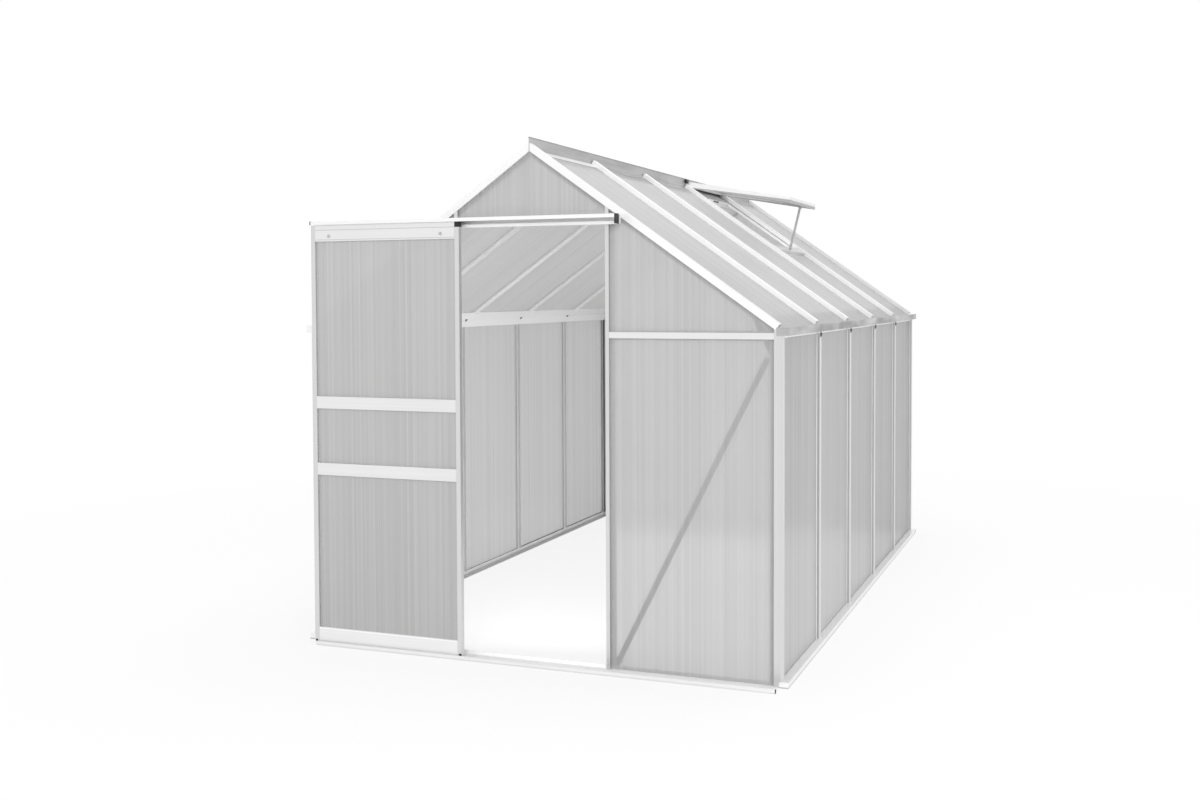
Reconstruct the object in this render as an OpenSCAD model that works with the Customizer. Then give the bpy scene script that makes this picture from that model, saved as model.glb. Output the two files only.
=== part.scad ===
// Polycarbonate greenhouse: a gabled house of extruded aluminium bars glazed with
// twin-wall sheets, with a sliding front door, eave gutters and a propped roof vent.
// +X is right, +Y runs from the door to the rear, and z = 0 is the ground.

/* [House] */
// Width over the side wall bars
house_w = 1830; // [1600:10:2400]
// Length over the gable walls
house_l = 3100; // [2000:10:6000]
// Height of the roof face over the side wall face
eave_h = 1212; // [1000:2:1500]
// Height at which the two roof faces meet
apex_h = 1860; // [1700:2:2300]
// Glazing bays along a side wall
bays = 5; // [4:1:9]

/* [Glazing] */
// Thickness of a twin-wall sheet
sheet_t = 4; // [4:1:8]
// Gap left round the edge of a sheet
sheet_gap = 1; // [0.5:0.5:2]
// Play between a rafter and the pieces behind it
seat = 0.5; // [0.3:0.1:1]

/* [Bars] */
// Face width of a glazing bar
bar_w = 30; // [24:1:40]
// Stand-off of wall bars in front of the sheets
wall_proud = 12; // [8:1:16]
// Stand-off of roof bars above the sheets
roof_proud = 18; // [12:1:20]
// Metal thickness of the extrusions
skin = 2; // [1.5:0.5:3]
// Depth of the stiffening tail inside a bar
tail = 12; // [8:1:20]
// Face height of the gable eave bars
eave_bar_w = 22; // [18:1:30]
// Drop of the gable rafter face below the roof face
rafter_face = 24; // [22:1:32]

/* [Base] */
// Height of the side and rear base rails
base_h = 20; // [18:1:40]
// Height of the front sill's inner lip
sill_h = 15; // [12:1:18]
// Projection of the base outside the wall face
base_out = 20; // [10:1:40]
// Width of the base foot inside the wall
foot_w = 32; // [26:1:60]
// Thickness of the base foot
foot_t = 3; // [2:0.5:5]
// Radius of the anchor holes
anchor_r = 4.5; // [3:0.5:6]
// Anchor holes in each side base
anchors = 3; // [2:1:6]

/* [Gutter] */
// Outward projection of a gutter from the wall face
gutter_out = 18; // [16:1:60]
// Depth of a gutter
gutter_h = 28; // [24:1:50]
// Overhang of a gutter at the rear
gutter_over = 12; // [0:1:20]

/* [Doorway] */
// Clear width between the door posts
doorway_w = 572; // [480:2:700]
// Face width of a door post
post_face = 14; // [12:1:24]
// Drop of the door rail below the rafters at the door posts
head_gap = 21; // [10:1:60]
// Reach of the open door past the post into the doorway
door_over = 35; // [0:1:60]

/* [Door] */
// Width of the sliding door
door_w = 620; // [560:2:800]
// Depth of the door frame
door_t = 20; // [18:1:24]
// Face width of the door stiles
stile_w = 18; // [16:1:30]
// Face height of the door's top rail
door_top_w = 66; // [50:1:90]
// Face height of the upper and the lower middle rail
door_mid_w = 46; // [30:1:60]
// Face height of the door's bottom rail
door_foot_w = 59; // [30:1:80]
// Height of the upper middle rail's centre line
mid_high = 920; // [800:5:1000]
// Height of the lower middle rail's centre line
mid_low = 669; // [400:1:700]
// Clearance between the door and the fixed parts
clear = 6; // [5:0.5:10]

/* [Rails] */
// Depth of the overhead door rail
rail_d = 67; // [60:1:80]
// Height of the overhead door rail
rail_h = 34; // [32:1:50]
// Reach of the floor track in front of the wall
track_out = 70; // [66:1:90]
// Height of the floor track's front edge
track_h = 16; // [10:1:20]

/* [Vent] */
// Bay of the right-hand roof slope that holds the vent
vent_bay = 4; // [2:1:4]
// Length of the vent down the slope
vent_len = 520; // [300:4:700]
// Distance of the vent's sill down the slope from the ridge
sill_s = 542; // [330:2:760]
// Slope of the propped vent below level
vent_dip = 10; // [0:1:20]
// Thickness of the vent frame
vent_t = 27; // [20:1:32]

/* [Hidden] */
$fn = 48;

half_w = house_w / 2;
bay = house_l / bays;
// How far a cut reaches past a face, and how far a fused wall reaches into its plate
cut = 1;
bite = 1;
groove_h = 8;
ledge_t = 3;
anchor_pitch = 2 * bay;
slope = (apex_h - eave_h) / half_w;
pitch = atan(slope);
rear_out = max(base_out, gutter_over);
centre_y = (house_l + rear_out - track_out) / 2;

// Wall layers, measured inward from the wall face
sheet_out = wall_proud;
sheet_in = sheet_out + sheet_t;
lip_in = sheet_in + skin;
bar_in = lip_in + tail;
web_t = 2 * skin;
lip_over = 2;
inner_w = bar_w + 2 * lip_over;
post_bevel = 6;
inner_bevel = post_bevel + skin * tan(22.5);
post_core = 12;

// Roof layers, measured down from the roof face
roof_sheet_in = roof_proud + sheet_t;
roof_lip_in = roof_sheet_in + skin;
plate_in = roof_lip_in + skin;
core_drop = 16;
core_in = rafter_face + core_drop;

// Eave beam and gutter
beam_drop = 40;
beam_w = 16;
beam_z = eave_h - beam_drop;
beam_x = half_w - lip_in - beam_w;
plate_w = 86;
end_play = 1;
plate_inset = lip_in + end_play;
gutter_drop = 4;
gutter_top = eave_h - gutter_drop;
gutter_z = gutter_top - gutter_h;
gutter_lip = 8;
horn_x = 22;

// Ridge
ridge_web = 3;
ridge_rise = 20;
ridge_lip = 8;
strip_w = 30;
ridge_plate_w = 60;

// Where the roof bars and the roof sheets end, down the slope
bar_back = 10;
sheet_over = 6;
bar_end = (half_w - bar_back) / cos(pitch);
sheet_end = half_w / cos(pitch) + sheet_over;

// Doorway and overhead rail
post_x = doorway_w / 2;
post_out = post_x + post_face;
post_lip = 20;
post_return = 10;
rail_top = roof_z(post_out, rafter_face) - head_gap;
rail_z = rail_top - rail_h;
header_gap = 6;
header_h = rail_h - header_gap;
header_web = 8;
header_lip = 6;

// Gable eave bars
eave_drop = 4;
eave_bar_z = beam_z - eave_drop;
eave_mid = eave_bar_z + eave_bar_w / 2;

// Door, open at rest
door_front = -rail_d + skin + clear;
door_back = door_front + door_t;
door_bar_t = 10;
door_sheet_front = door_front + door_bar_t;
door_groove = door_sheet_front + sheet_t;
door_z = skin + clear;
door_top = rail_top - skin - clear;
door_x = -post_x + door_over - door_w;
stile_step = 4;
plug_h = 18;
plug_z = door_top - clear - plug_h;
rail_floor = 30;
rail_lip = 11;
rail_inset = 3;
rail_past = 46;
rail_left = door_x + rail_inset;
rail_right = post_out + rail_past;
fascia_h = 13;
cap_t = 3;
cap_edge = 1;
track_end = 9;
track_left = 54;
roller_in = 52;
roller_r = 5.5;
roller_w = 8;
roller_play = 0.5;
roller_z = rail_z + rail_lip + roller_play + roller_r;
roller_y = -rail_floor + skin / 2;
axle_r = 2.5;

// Vent and its bay
vent_play = 4;
vent_y0 = (vent_bay - 1) * bay + bar_w / 2 + vent_play;
vent_y1 = vent_bay * bay - bar_w / 2 - vent_play;
vent_w = vent_y1 - vent_y0;
hinge_up = 9;
hinge_z = apex_h + hinge_up;
vent_bar = 18;
hinge_w = 11;
hinge_l = 28;
hinge_h = 16;
sill_w = 44;
sill_t = 14;
stay_over = 12;
stay_s = sill_s + stay_over;

// Height of the plane that lies d below the roof face
function roof_z(x, d) = apex_h - slope * abs(x) - d / cos(pitch);
// Distance down the slope at which that plane is x from the ridge line
function roof_s(x, d) = (x + d * sin(pitch)) / cos(pitch);
// Point of the right-hand slope at s down it and d below its face
function roof_point(s, d) = [s * cos(pitch) - d * sin(pitch), apex_h - s * sin(pitch) - d * cos(pitch)];
// Centre of bar i along the wall
function bar_y(i) = i * bay;
// Centre of anchor hole i along the wall
function anchor_y(i) = house_l / 2 + (i - (anchors - 1) / 2) * anchor_pitch;

// ---- Helpers ----

// Sets the house's centre on the origin
module place() { translate([0, -centre_y, 0]) children(); }

// Extrude a (y, z) outline along x
module along_x(x0, x1) { translate([x0, 0, 0]) rotate([90, 0, 90]) linear_extrude(x1 - x0) children(); }

// Extrude an (x, z) outline along y
module along_y(y0, y1) { translate([0, y1, 0]) rotate([90, 0, 0]) linear_extrude(y1 - y0) children(); }

// Extrude an (x, y) outline along z
module along_z(z0, z1) { translate([0, 0, z0]) linear_extrude(z1 - z0) children(); }

// Rectangle from one corner to the other
module rect(x0, y0, x1, y1) { translate([x0, y0]) square([x1 - x0, y1 - y0]); }

// Hollow rectangle with walls of the extrusion's thickness
module tube(x0, y0, x1, y1) {
    difference() {
        rect(x0, y0, x1, y1);
        rect(x0 + skin, y0 + skin, x1 - skin, y1 - skin);
    }
}

// Both sides of the house, from the right-hand one
module both_sides() {
    children();
    mirror([1, 0, 0]) children();
}

// Moves a front wall piece to the rear wall
module at_rear() { translate([0, house_l, 0]) mirror([0, 1, 0]) children(); }

// Local frame of the right-hand slope: +x down the slope, +z out of the roof
module on_slope() { translate([0, 0, apex_h]) rotate([0, pitch, 0]) children(); }

// Keeps what lies to the right of the ridge web
module right_of_ridge() {
    intersection() {
        children();
        translate([ridge_web / 2, -house_l, 0]) cube([house_w, 3 * house_l, 2 * apex_h]);
    }
}

// Plate along the right-hand slope, from s0 to s1 down it, d0 to d1 below its face and
// inset from both gables
module slope_plate(s0, s1, d0, d1, inset) {
    on_slope() along_y(inset, house_l - inset) rect(s0, -d1, s1, -d0);
}

// Glazing bar section: hollow cap outside, web between the sheets, lip and tail inside.
// The first axis is across the bar and the second goes inward.
module bar_section(proud) {
    tube(-bar_w / 2, 0, bar_w / 2, proud);
    rect(-web_t / 2, proud, web_t / 2, proud + sheet_t);
    rect(-bar_w / 2, proud + sheet_t, bar_w / 2, proud + sheet_t + skin);
    rect(-skin / 2, proud + sheet_t + skin, skin / 2, proud + sheet_t + skin + tail);
}

// ---- Base ----

// Floor of the groove that holds the sheets, z0 high, and its inner lip, z1 high, in
// (outward distance, height)
module base_groove(z0, z1) {
    rect(-sheet_in, 0, -sheet_out, z0);
    rect(-lip_in, 0, -sheet_in, z1);
}

module base_foot() { rect(-lip_in - foot_w, 0, -lip_in, foot_t); }

module side_base() {
    difference() {
        union() {
            along_y(0, house_l) translate([half_w, 0]) tube(-sheet_out, 0, base_out, base_h);
            along_y(0, skin) translate([half_w, 0]) rect(-sheet_out, 0, base_out, base_h);
            along_y(lip_in, house_l - lip_in) translate([half_w, 0]) {
                base_groove(groove_h, base_h);
                base_foot();
            }
        }
        for (i = [0 : anchors - 1])
            translate([half_w - lip_in - foot_w / 2, anchor_y(i), -cut])
                cylinder(r = anchor_r, h = foot_t + 2 * cut);
    }
}

// Base of a gable wall. The child is its outer part, and the groove is z0 and z1 high.
module end_base(z0, z1) {
    along_x(-half_w + sheet_out, half_w - sheet_out) children();
    along_x(-half_w + lip_in, half_w - lip_in) mirror([1, 0]) base_groove(z0, z1);
    along_x(-half_w + lip_in + foot_w, half_w - lip_in - foot_w) mirror([1, 0]) base_foot();
}

module base_left() { color("gainsboro") place() mirror([1, 0, 0]) side_base(); }
module base_right() { color("gainsboro") place() side_base(); }
module base_rear() {
    color("gainsboro") place() at_rear() {
        end_base(groove_h, base_h) tube(0, 0, sheet_out, base_h);
        along_x(-half_w - base_out, half_w + base_out) tube(-base_out, 0, 0, base_h);
    }
}

// Front base with the floor track that the door runs in
module front_sill() {
    color("whitesmoke") place() {
        end_base(ledge_t, sill_h) rect(0, 0, sheet_out, ledge_t);
        along_x(-half_w + track_left, half_w - track_end) {
            rect(-track_out, 0, 0, skin);
            rect(-track_out, 0, -track_out + skin, track_h);
        }
    }
}

// ---- Posts and wall bars ----

// Corner post section at the front right corner, seen from above
module post_outer() {
    difference() {
        polygon([[half_w - bar_w, 0], [half_w - post_bevel, 0], [half_w, post_bevel], [half_w, bar_w],
            [half_w - sheet_out, bar_w], [half_w - sheet_out, sheet_out], [half_w - bar_w, sheet_out]]);
        polygon([[half_w - bar_w + skin, skin], [half_w - inner_bevel, skin],
            [half_w - skin, inner_bevel],
            [half_w - skin, bar_w - skin], [half_w - sheet_out + skin, bar_w - skin],
            [half_w - sheet_out + skin, sheet_out - skin], [half_w - bar_w + skin, sheet_out - skin]]);
    }
}

module post_inner() {
    core = sheet_out + post_core;
    rect(half_w - core, sheet_out, half_w - sheet_out, core);
    rect(half_w - bar_w - inner_w / 2, sheet_in, half_w - core, lip_in);
    rect(half_w - lip_in, core, half_w - sheet_in, bar_w + inner_w / 2);
}

// Corner post: its outer part stands at z0 and its core at z1, stepped over the side base
module corner_post(z0, z1) {
    color("lightgray") difference() {
        union() {
            along_z(z0, gutter_z) post_outer();
            along_z(z1, beam_z) post_inner();
            under_roof(rafter_face) translate([half_w - bar_w, 0, gutter_z])
                cube([bar_w - horn_x, sheet_out, gutter_h]);
        }
        translate([half_w - sheet_out, -cut, 0]) cube([house_w, bay, base_h]);
        translate([half_w - lip_in, lip_in, 0]) cube([house_w, bay, base_h]);
    }
}

module corner_post_front_left() { place() mirror([1, 0, 0]) corner_post(ledge_t, sill_h); }
module corner_post_front_right() { place() corner_post(ledge_t, sill_h); }
module corner_post_rear_left() { place() at_rear() mirror([1, 0, 0]) corner_post(base_h, base_h); }
module corner_post_rear_right() { place() at_rear() corner_post(base_h, base_h); }

module wall_bars() {
    color("whitesmoke")
        for (i = [1 : bays - 1])
            along_z(base_h, beam_z)
                translate([half_w, bar_y(i)]) rotate(90) bar_section(wall_proud);
}

module wall_bars_left() { place() mirror([1, 0, 0]) wall_bars(); }
module wall_bars_right() { place() wall_bars(); }

// ---- Eaves ----

// Lower edge of the beam's sloping plate, down the slope
plate_s = roof_s(half_w - sheet_out, roof_lip_in);

// Upright wall from the beam's foot to the sloping plate
module beam_wall(x0) {
    polygon([[x0, beam_z], [x0 + skin, beam_z], [x0 + skin, roof_z(x0 + skin, plate_in - bite)],
        [x0, roof_z(x0, plate_in - bite)]]);
}

module gutter_trough() {
    rect(half_w - sheet_in, gutter_z, half_w + gutter_out, gutter_z + skin);
    rect(half_w + gutter_out - skin, gutter_z, half_w + gutter_out, gutter_top);
    rect(half_w + gutter_out - gutter_lip, gutter_top - skin, half_w + gutter_out, gutter_top);
}

module gutter() {
    color("silver") {
        slope_plate(plate_s - plate_w, plate_s, roof_lip_in, plate_in, plate_inset);
        along_y(lip_in, house_l - lip_in) {
            beam_wall(beam_x);
            beam_wall(half_w - lip_in);
            rect(beam_x, beam_z, half_w - sheet_in, beam_z + skin);
        }
        along_y(bar_w, house_l - bar_w)
            rect(half_w - sheet_out, beam_z, half_w - sheet_out + skin, gutter_z + skin);
        along_y(0, house_l + gutter_over) gutter_trough();
        along_y(-skin, 0) rect(half_w - horn_x, gutter_z, half_w + gutter_out, gutter_top);
    }
}

module gutter_left() { place() mirror([1, 0, 0]) gutter(); }
module gutter_right() { place() gutter(); }

// ---- Ridge, rafters and roof bars ----

module ridge_strip(side, i) {
    y0 = bar_y(i) + (i == 0 ? bar_w : bar_w / 2) + sheet_gap;
    y1 = bar_y(i + 1) - (i == bays - 1 ? bar_w : bar_w / 2) - sheet_gap;
    s0 = roof_s(0, roof_proud);
    mirror([side < 0 ? 1 : 0, 0, 0]) on_slope()
        along_y(y0, y1) rect(s0, -roof_proud, s0 + strip_w, -roof_proud + skin);
}

module ridge_bar() {
    top = apex_h + ridge_rise;
    s0 = roof_s(0, roof_lip_in);
    color("darkgray") place() {
        along_y(0, house_l) {
            rect(-ridge_web / 2, roof_z(0, roof_proud) + skin, ridge_web / 2, top);
            rect(-ridge_lip / 2, top - skin, ridge_lip / 2, top);
        }
        for (y = [0, house_l - sheet_out])
            along_y(y, y + sheet_out) rect(-ridge_web / 2, roof_z(0, rafter_face), ridge_web / 2, top);
        along_y(lip_in, house_l - lip_in)
            rect(-ridge_web / 2, roof_z(0, plate_in), ridge_web / 2, top);
        both_sides() slope_plate(s0, s0 + ridge_plate_w, roof_sheet_in, roof_lip_in, plate_inset);
        for (i = [0 : bays - 1]) {
            ridge_strip(-1, i);
            if (i != vent_bay - 1) ridge_strip(1, i);
        }
    }
}

// End rafter: a hollow cap with a deeper front face, a core behind the gable sheet
// and a lip under the roof sheet
module rafter() {
    s_in = roof_s(0, roof_lip_in) + ridge_plate_w + sheet_gap;
    right_of_ridge() on_slope() {
        along_x(0, bar_end) mirror([0, 1]) {
            difference() {
                union() {
                    rect(0, 0, bar_w, roof_proud);
                    rect(0, 0, sheet_out, rafter_face);
                }
                rect(skin, skin, bar_w - skin, roof_proud - skin);
                rect(skin, skin, sheet_out - skin, rafter_face - skin);
            }
            rect(sheet_in + seat, roof_proud, lip_in, core_in);
        }
        along_x(s_in, bar_end) mirror([0, 1])
            rect(lip_in, roof_sheet_in, bar_w + 2 * lip_over, roof_lip_in);
    }
}

module front_rafters() { color("white") place() both_sides() rafter(); }
module rear_rafters() { color("white") place() at_rear() both_sides() rafter(); }

module roof_bar(i) {
    s_in = roof_s(0, roof_lip_in) + ridge_plate_w + sheet_gap;
    s_tail = plate_s - plate_w - sheet_gap;
    translate([0, bar_y(i), 0]) right_of_ridge() on_slope() mirror([0, 0, 1]) {
        along_x(roof_s(0, roof_proud), bar_end) {
            tube(-bar_w / 2, 0, bar_w / 2, roof_proud);
            rect(-web_t / 2, roof_proud, web_t / 2, roof_sheet_in);
        }
        along_x(s_in, bar_end) rect(-bar_w / 2, roof_sheet_in, bar_w / 2, roof_lip_in);
        along_x(s_in, s_tail) rect(-skin / 2, roof_lip_in, skin / 2, roof_lip_in + tail);
    }
}

module roof_bars() {
    color("white")
        for (i = [1 : bays - 1])
            roof_bar(i);
}

module roof_bars_left() { place() mirror([1, 0, 0]) roof_bars(); }
module roof_bars_right() { place() roof_bars(); }

// ---- Gable frames ----

// Keeps what lies d or more below both roof faces
module under_roof(d) {
    difference() {
        children();
        both_sides() on_slope() translate([0, -house_l, -d]) cube([house_w, 3 * house_l, house_w]);
    }
}

module door_post() {
    under_roof(rafter_face) along_z(ledge_t, apex_h) tube(post_x, 0, post_out, sheet_out);
    under_roof(core_in) along_z(sill_h, apex_h) {
        rect(post_x, sheet_out, post_x + web_t, sheet_in);
        rect(post_x, sheet_in, post_out + post_lip, lip_in);
        rect(post_x, lip_in, post_x + skin, bar_in);
        rect(post_x, bar_in - skin, post_x + post_return, bar_in);
    }
}

module door_posts() { color("white") place() both_sides() door_post(); }

module door_header() {
    color("white") place() along_x(-post_x, post_x) {
        tube(0, rail_z, sheet_out, rail_z + header_h);
        rect(sheet_in, rail_z, lip_in, rail_z + header_h + header_lip);
        rect(sheet_out, rail_z, sheet_in, rail_z + header_h - header_web);
    }
}

// Level bar between two gable posts, in (y, z)
module eave_cap() { tube(0, eave_bar_z, sheet_out, eave_bar_z + eave_bar_w); }

module eave_core() {
    rect(sheet_out, eave_mid - web_t / 2, sheet_in, eave_mid + web_t / 2);
    rect(sheet_in, eave_mid - inner_w / 2, lip_in, eave_mid + inner_w / 2);
}

// The core stays this far inside the cap at each end
module eave_bar(x0, x1, in0, in1) {
    along_x(x0, x1) eave_cap();
    under_roof(core_in) along_x(x0 + in0, x1 - in1) eave_core();
}

module front_eave_bars() {
    color("white") place() both_sides() eave_bar(post_out, half_w - bar_w, post_lip, inner_w / 2);
}

rear_post_x = post_x + post_face / 2;

module rear_post() {
    translate([rear_post_x, 0, 0]) along_z(base_h, apex_h) bar_section(wall_proud);
}

module rear_posts() {
    color("white") place() at_rear() both_sides() {
        under_roof(rafter_face) intersection() {
            rear_post();
            cube([half_w, sheet_out, apex_h]);
        }
        under_roof(core_in) difference() {
            rear_post();
            cube([half_w, sheet_out, apex_h]);
        }
    }
}

module rear_eave_bars() {
    color("white") place() at_rear() {
        both_sides() eave_bar(rear_post_x + bar_w / 2, half_w - bar_w, 0, inner_w / 2);
        eave_bar(-rear_post_x + bar_w / 2, rear_post_x - bar_w / 2, 0, 0);
    }
}

// ---- Braces ----

brace_w = 20;
brace_from = [16, 12];
brace_to = [24, 66];
brace_start = [post_out, 0] + brace_from;
brace_run = [half_w - bar_w, beam_z] - brace_to - brace_start;

// Flat strap across a lower gable panel, behind the sheet
module brace() {
    translate([brace_start[0], lip_in, brace_start[1]])
        rotate([0, -atan2(brace_run[1], brace_run[0]), 0])
            translate([0, 0, -brace_w / 2]) cube([norm(brace_run), skin, brace_w]);
}

module braces() {
    color("darkgray") place() {
        both_sides() brace();
        at_rear() both_sides() brace();
    }
}

gusset_w = 74;
gusset_up = 84;
gusset_down = 48;
gusset_foot = 19;
gusset_head = 12;
gusset_gap = 4;

// Corner plate between rafter, eave bar and corner post
module gusset() {
    right = half_w - bar_w - gusset_gap;
    left = right - gusset_w;
    foot = beam_z - gusset_down;
    head = beam_z + gusset_up;
    under_roof(rafter_face + gusset_head) along_y(lip_in, lip_in + skin)
        polygon([[right, foot], [right - gusset_foot, foot], [left, head - gusset_head],
            [left + gusset_head, head], [right - gusset_w / 2, eave_h], [beam_x, beam_z]]);
}

module gussets() {
    color("gray") place() {
        both_sides() gusset();
        at_rear() both_sides() gusset();
    }
}

// ---- Sheets ----

module wall_sheets() {
    color("lightgray", 0.6)
        for (i = [0 : bays - 1]) {
            y0 = bar_y(i) + (i == 0 ? sheet_out + post_core : web_t / 2) + sheet_gap;
            y1 = bar_y(i + 1) - (i == bays - 1 ? sheet_out + post_core : web_t / 2) - sheet_gap;
            along_y(y0, y1) rect(half_w - sheet_in, groove_h, half_w - sheet_out, gutter_z - skin);
        }
}

module wall_sheets_left() { place() mirror([1, 0, 0]) wall_sheets(); }
module wall_sheets_right() { place() wall_sheets(); }

sheet_right = half_w - sheet_out - post_core - sheet_gap;

module lower_gable_sheet(x0, z0) {
    along_y(sheet_out, sheet_in)
        rect(x0, z0, sheet_right, eave_mid - web_t / 2 - sheet_gap);
}

module upper_gable_sheet(x0) {
    under_roof(roof_proud + sheet_gap) along_y(sheet_out, sheet_in)
        rect(x0, eave_mid + web_t / 2 + sheet_gap, sheet_right, apex_h);
}

// Sheet that fills the peak of a gable above z0
module peak_sheet(x, z0) {
    under_roof(roof_proud + sheet_gap) along_y(sheet_out, sheet_in)
        rect(-x, z0, x, roof_z(0, rafter_face) - sheet_gap);
}

module front_sheets_lower() {
    color("lightgray", 0.6) place() both_sides() lower_gable_sheet(post_x + web_t + sheet_gap, ledge_t);
}

module front_sheets_gable() {
    color("lightgray", 0.6) place() {
        both_sides() upper_gable_sheet(post_x + web_t + sheet_gap);
        peak_sheet(post_x - sheet_gap, rail_z + header_h - header_web + sheet_gap);
    }
}

module rear_sheets_lower() {
    x = rear_post_x - web_t / 2 - sheet_gap;
    color("lightgray", 0.6) place() at_rear() {
        both_sides() lower_gable_sheet(rear_post_x + web_t / 2 + sheet_gap, groove_h);
        along_y(sheet_out, sheet_in) rect(-x, groove_h, x, eave_mid - web_t / 2 - sheet_gap);
    }
}

module rear_sheets_gable() {
    color("lightgray", 0.6) place() at_rear() {
        both_sides() upper_gable_sheet(rear_post_x + web_t / 2 + sheet_gap);
        peak_sheet(rear_post_x - web_t / 2 - sheet_gap, eave_mid + web_t / 2 + sheet_gap);
    }
}

module roof_sheet(i, s0) {
    y0 = bar_y(i) + (i == 0 ? lip_in : web_t / 2) + sheet_gap;
    y1 = bar_y(i + 1) - (i == bays - 1 ? lip_in : web_t / 2) - sheet_gap;
    on_slope() translate([s0, y0, -roof_sheet_in]) cube([sheet_end - s0, y1 - y0, sheet_t]);
}

sheet_top = roof_s(ridge_web / 2 + sheet_gap, roof_sheet_in);

module roof_sheets_left() {
    color("lightgray", 0.6) place() mirror([1, 0, 0])
        for (i = [0 : bays - 1])
            roof_sheet(i, sheet_top);
}

module roof_sheets_right() {
    color("lightgray", 0.6) place()
        for (i = [0 : bays - 1])
            roof_sheet(i, i == vent_bay - 1 ? sill_s + sill_w / 2 + sheet_gap : sheet_top);
}

// ---- Roof vent ----

// Local frame of the propped vent: +x out from the ridge web, +z out of the panel
module on_vent() { translate([0, vent_y0, hinge_z]) rotate([0, vent_dip, 0]) children(); }

// Cross bar between two roof bars, under the vent's free edge
module vent_sill() {
    half = sill_w / 2;
    color("white") place()
        translate([0, vent_y0, 0]) on_slope() along_y(0, vent_w) {
            tube(sill_s - half, -roof_proud, sill_s + half, -roof_proud + sill_t);
            rect(sill_s - web_t / 2, -roof_sheet_in, sill_s + web_t / 2, -roof_proud);
            rect(sill_s - half, -roof_lip_in, sill_s + half, -roof_sheet_in);
        }
}

module vent_frame() {
    color("white") place() right_of_ridge() on_vent()
        difference() {
            translate([-vent_t, 0, -vent_t]) cube([vent_len + vent_t, vent_w, vent_t]);
            translate([vent_bar, vent_bar, -vent_t - cut])
                cube([vent_len - 2 * vent_bar, vent_w - 2 * vent_bar, vent_t + 2 * cut]);
        }
}

module vent_sheet() {
    color("lightgray", 0.6) place() on_vent()
        translate([vent_bar, vent_bar, -vent_t / 2 - sheet_t / 2])
            cube([vent_len - 2 * vent_bar, vent_w - 2 * vent_bar, sheet_t]);
}

// Hinge blocks on the ridge beside the vent's two upper corners
module vent_hinges() {
    color("black") place()
        for (i = [vent_bay - 1, vent_bay])
            translate([ridge_web / 2, bar_y(i) - hinge_l / 2, apex_h]) cube([hinge_w, hinge_l, hinge_h]);
}

stay_w = 12;
stay_t = 4;

// Flat stay from the vent's free edge down to the sill
module vent_stay() {
    foot = roof_point(stay_s, roof_proud);
    head_s = vent_len - vent_bar / 2;
    head = [head_s * cos(vent_dip), hinge_z - head_s * sin(vent_dip)];
    y = bar_y(vent_bay - 0.5);
    color("gray") place() difference() {
        along_y(y - stay_t / 2, y + stay_t / 2)
            polygon([[foot[0] - stay_w / 2, foot[1]], [foot[0] + stay_w / 2, foot[1]],
                [head[0] + stay_w / 2, head[1]], [head[0] - stay_w / 2, head[1]]]);
        translate([0, vent_y0, 0]) on_slope()
            translate([0, 0, -roof_lip_in]) cube([house_w, vent_w, roof_lip_in - roof_proud + sill_t]);
        on_vent() translate([0, 0, -vent_t]) cube([house_w, vent_w, house_w]);
    }
}

// ---- Overhead rail ----

// Rail section in (y, z): a channel with a slot along its front
module rail_section() {
    rect(-skin, rail_z, 0, rail_top);
    rect(-rail_d, rail_top - skin, 0, rail_top);
    rect(-rail_d, rail_top - fascia_h, -rail_d + skin, rail_top);
    rect(-rail_floor, rail_z, 0, rail_z + skin);
    rect(-rail_floor, rail_z, -rail_floor + skin, rail_z + rail_lip);
}

module door_rail() { color("whitesmoke") place() along_x(rail_left, rail_right) rail_section(); }

// Edging on the rail's open left end, and a plate that closes its right end
module rail_end_caps() {
    color("black") place() {
        along_x(rail_left - cap_t, rail_left) {
            rect(-rail_d - cap_edge, rail_top - skin, 0, rail_top + cap_edge);
            rect(-rail_d - cap_edge, rail_top - fascia_h, -rail_d + skin, rail_top);
        }
        along_x(rail_right, rail_right + cap_t)
            rect(-rail_d - cap_edge, rail_z, -rail_floor + skin, rail_top + cap_edge);
    }
}

// ---- Sliding door ----

// Frame bar section: across from 0 to w, and in y from the door's front to its back
module stile_section(w) {
    tube(0, door_front, w, door_sheet_front);
    rect(0, door_sheet_front, web_t, door_groove);
    rect(0, door_groove, w - stile_step, door_back);
}

module door_stile(top) {
    translate([door_x, 0, 0]) along_z(door_z, top) stile_section(stile_w);
}

module door_mirror() { translate([2 * door_x + door_w, 0, 0]) mirror([1, 0, 0]) children(); }

module door_stiles() {
    color("white") place() {
        door_stile(plug_z + plug_h);
        door_mirror() door_stile(plug_z);
    }
}

top_web_up = 12;
top_web = door_top - door_top_w + top_web_up;
door_x0 = door_x + stile_w;
door_x1 = door_x + door_w - stile_w;

// Rail between the stiles, from height z0 to z1, with its web at zw
module door_rail_bar(z0, z1, zw) {
    along_x(door_x0, door_x1) {
        tube(door_front, z0, door_sheet_front, z1);
        rect(door_sheet_front, zw - web_t / 2, door_groove, zw + web_t / 2);
        rect(door_groove, z0, door_back, z1);
    }
}

module door_top_rail() {
    color("white") place() door_rail_bar(door_top - door_top_w, door_top, top_web);
}

module door_mid_rails() {
    color("white") place()
        for (z = [mid_low, mid_high])
            door_rail_bar(z - door_mid_w / 2, z + door_mid_w / 2, z);
}

module door_bottom_rail() {
    color("white") place() door_rail_bar(door_z, door_z + door_foot_w, door_z + web_t / 2);
}

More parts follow.
